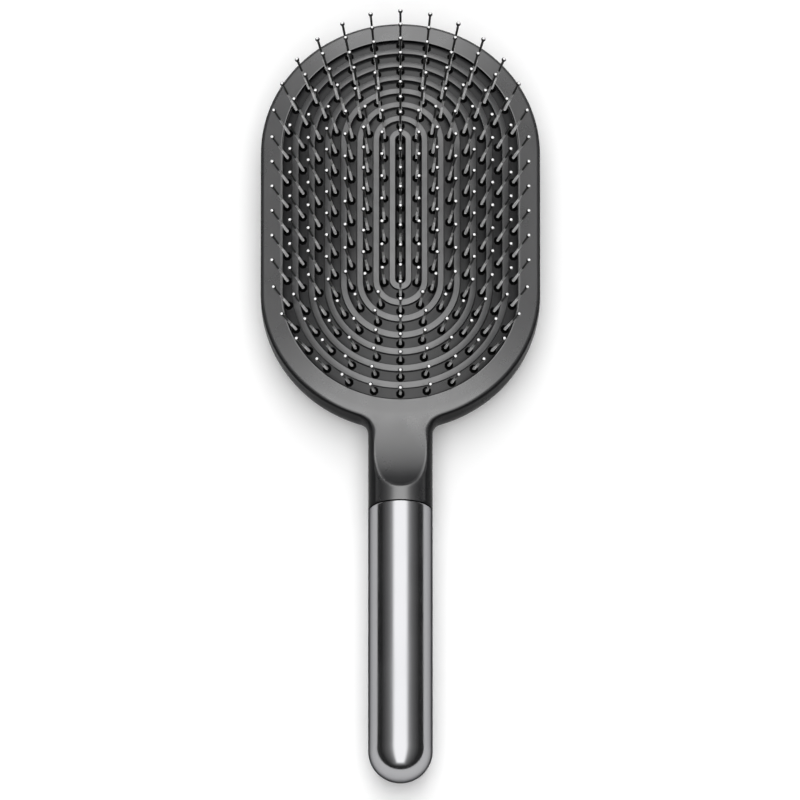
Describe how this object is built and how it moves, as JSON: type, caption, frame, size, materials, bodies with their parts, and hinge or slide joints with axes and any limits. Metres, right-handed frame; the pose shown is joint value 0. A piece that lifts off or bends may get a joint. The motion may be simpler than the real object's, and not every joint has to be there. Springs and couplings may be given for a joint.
{
  "type": "paddle hair brush",
  "caption": "Paddle hair brush: ribbed air-cushion pad with ball-tipped nylon pins in a satin frame, neck with thumb scoop and a polished metal handle sleeve.",
  "frame": {"origin": "middle of the bounding box on the surface that the brush lies on, back down and pins up", "axes": "+Y from the handle's end towards the top of the head, +Z out of the pin side, +X across the head"},
  "size_m": [0.0864, 0.25, 0.0447],
  "materials": {
    "satin_plastic": "satin dark grey",
    "grey_elastomer": "soft matte grey",
    "black_nylon": "glossy black",
    "dark_metal": "polished dark grey",
    "steel": "zinc plated",
    "black_rubber": "matte black"
  },
  "bodies": {
    "brush_body": {"paddle_frame": "satin_plastic", "back_cover": "satin_plastic", "cushion_pad": "grey_elastomer", "pad_retaining_ring": "satin_plastic", "handle_sleeve": "dark_metal", "sleeve_ring_front": "black_rubber", "sleeve_ring_rear": "black_rubber", "clamp_screw_1": "steel", "clamp_screw_2": "steel", "clamp_screw_3": "steel", "clamp_screw_4": "steel", "clamp_screw_5": "steel", "clamp_screw_6": "steel", "clamp_screw_7": "steel", "clamp_screw_8": "steel"},
    "centre_pins": {"pin_row_centre": "black_nylon"},
    "loop_1_pins": {"pin_loop_1": "black_nylon"},
    "loop_2_pins": {"pin_loop_2": "black_nylon"},
    "loop_3_pins": {"pin_loop_3": "black_nylon"},
    "loop_4_pins": {"pin_loop_4": "black_nylon"},
    "loop_5_pins": {"pin_loop_5": "black_nylon"},
    "loop_6_pins": {"pin_loop_6": "black_nylon"},
    "loop_7_pins": {"pin_loop_7": "black_nylon"}
  },
  "joints": [
    {"name": "cushion_press", "type": "slide", "parent": "brush_body", "child": "centre_pins", "axis": [0, 0, -1], "range_m": [0, 0.003], "stiffness_N_per_m": 1500, "deforming": ["cushion_pad"]},
    {"name": "loop_1_press", "type": "slide", "parent": "brush_body", "child": "loop_1_pins", "axis": [0, 0, -1], "range_m": [0, 0.003]},
    {"name": "loop_2_press", "type": "slide", "parent": "brush_body", "child": "loop_2_pins", "axis": [0, 0, -1], "range_m": [0, 0.0027]},
    {"name": "loop_3_press", "type": "slide", "parent": "brush_body", "child": "loop_3_pins", "axis": [0, 0, -1], "range_m": [0, 0.0024]},
    {"name": "loop_4_press", "type": "slide", "parent": "brush_body", "child": "loop_4_pins", "axis": [0, 0, -1], "range_m": [0, 0.0021]},
    {"name": "loop_5_press", "type": "slide", "parent": "brush_body", "child": "loop_5_pins", "axis": [0, 0, -1], "range_m": [0, 0.0018]},
    {"name": "loop_6_press", "type": "slide", "parent": "brush_body", "child": "loop_6_pins", "axis": [0, 0, -1], "range_m": [0, 0.0014]},
    {"name": "loop_7_press", "type": "slide", "parent": "brush_body", "child": "loop_7_pins", "axis": [0, 0, -1], "range_m": [0, 0.001]}
  ],
  "couplings": [
    {"joint": "loop_1_press", "follows": "cushion_press", "ratio": 0.944},
    {"joint": "loop_2_press", "follows": "cushion_press", "ratio": 0.859},
    {"joint": "loop_3_press", "follows": "cushion_press", "ratio": 0.763},
    {"joint": "loop_4_press", "follows": "cushion_press", "ratio": 0.658},
    {"joint": "loop_5_press", "follows": "cushion_press", "ratio": 0.544},
    {"joint": "loop_6_press", "follows": "cushion_press", "ratio": 0.422},
    {"joint": "loop_7_press", "follows": "cushion_press", "ratio": 0.298}
  ]
}
